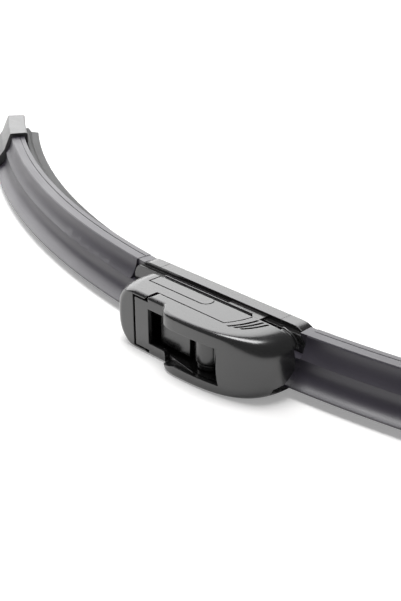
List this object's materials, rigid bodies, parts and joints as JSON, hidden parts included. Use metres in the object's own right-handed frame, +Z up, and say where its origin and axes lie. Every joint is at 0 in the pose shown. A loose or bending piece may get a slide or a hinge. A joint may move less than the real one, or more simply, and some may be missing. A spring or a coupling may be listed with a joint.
{
  "type": "wiper blade",
  "caption": "Beam-type windscreen wiper blade, bowed as when free, with a one-sided spoiler and a swivelling adapter for a hooked wiper arm, lying on its side.",
  "frame": {"origin": "on the table the blade lies on, straight below the axis of the adapter's swivel, on the adapter's lower side face", "axes": "+X along the blade's middle, +Y towards the rubber lip, -Y to the side the wiper arm comes from, +Z up from the table and along the swivel's axis"},
  "size_m": [0.442, 0.1002, 0.02],
  "materials": {
    "lip_rubber": "matt black rubber",
    "spoiler_rubber": "satin black rubber",
    "spring_steel": "dark rolled spring steel",
    "pin_steel": "plain turned steel",
    "cap_plastic": "satin black moulded plastic",
    "base_plastic": "satin black moulded plastic",
    "adapter_plastic": "satin black moulded plastic, finely grained"
  },
  "bodies": {
    "blade": {"rubber_element": "lip_rubber", "spine_strip_upper": "spring_steel", "spine_strip_lower": "spring_steel", "spoiler_left": "spoiler_rubber", "spoiler_right": "spoiler_rubber", "end_cap_left": "cap_plastic", "end_cap_right": "cap_plastic", "connector_base": "base_plastic", "base_end_left": "base_plastic", "base_end_right": "base_plastic", "swivel_pin": "pin_steel"},
    "adapter": {"adapter_body": "adapter_plastic", "adapter_cover": "adapter_plastic"}
  },
  "joints": [
    {"name": "adapter_swivel", "type": "hinge", "parent": "blade", "child": "adapter", "pos_m": [0, 0, 0.01], "axis": [0, 0, 1], "range_deg": [-8, 8]}
  ]
}
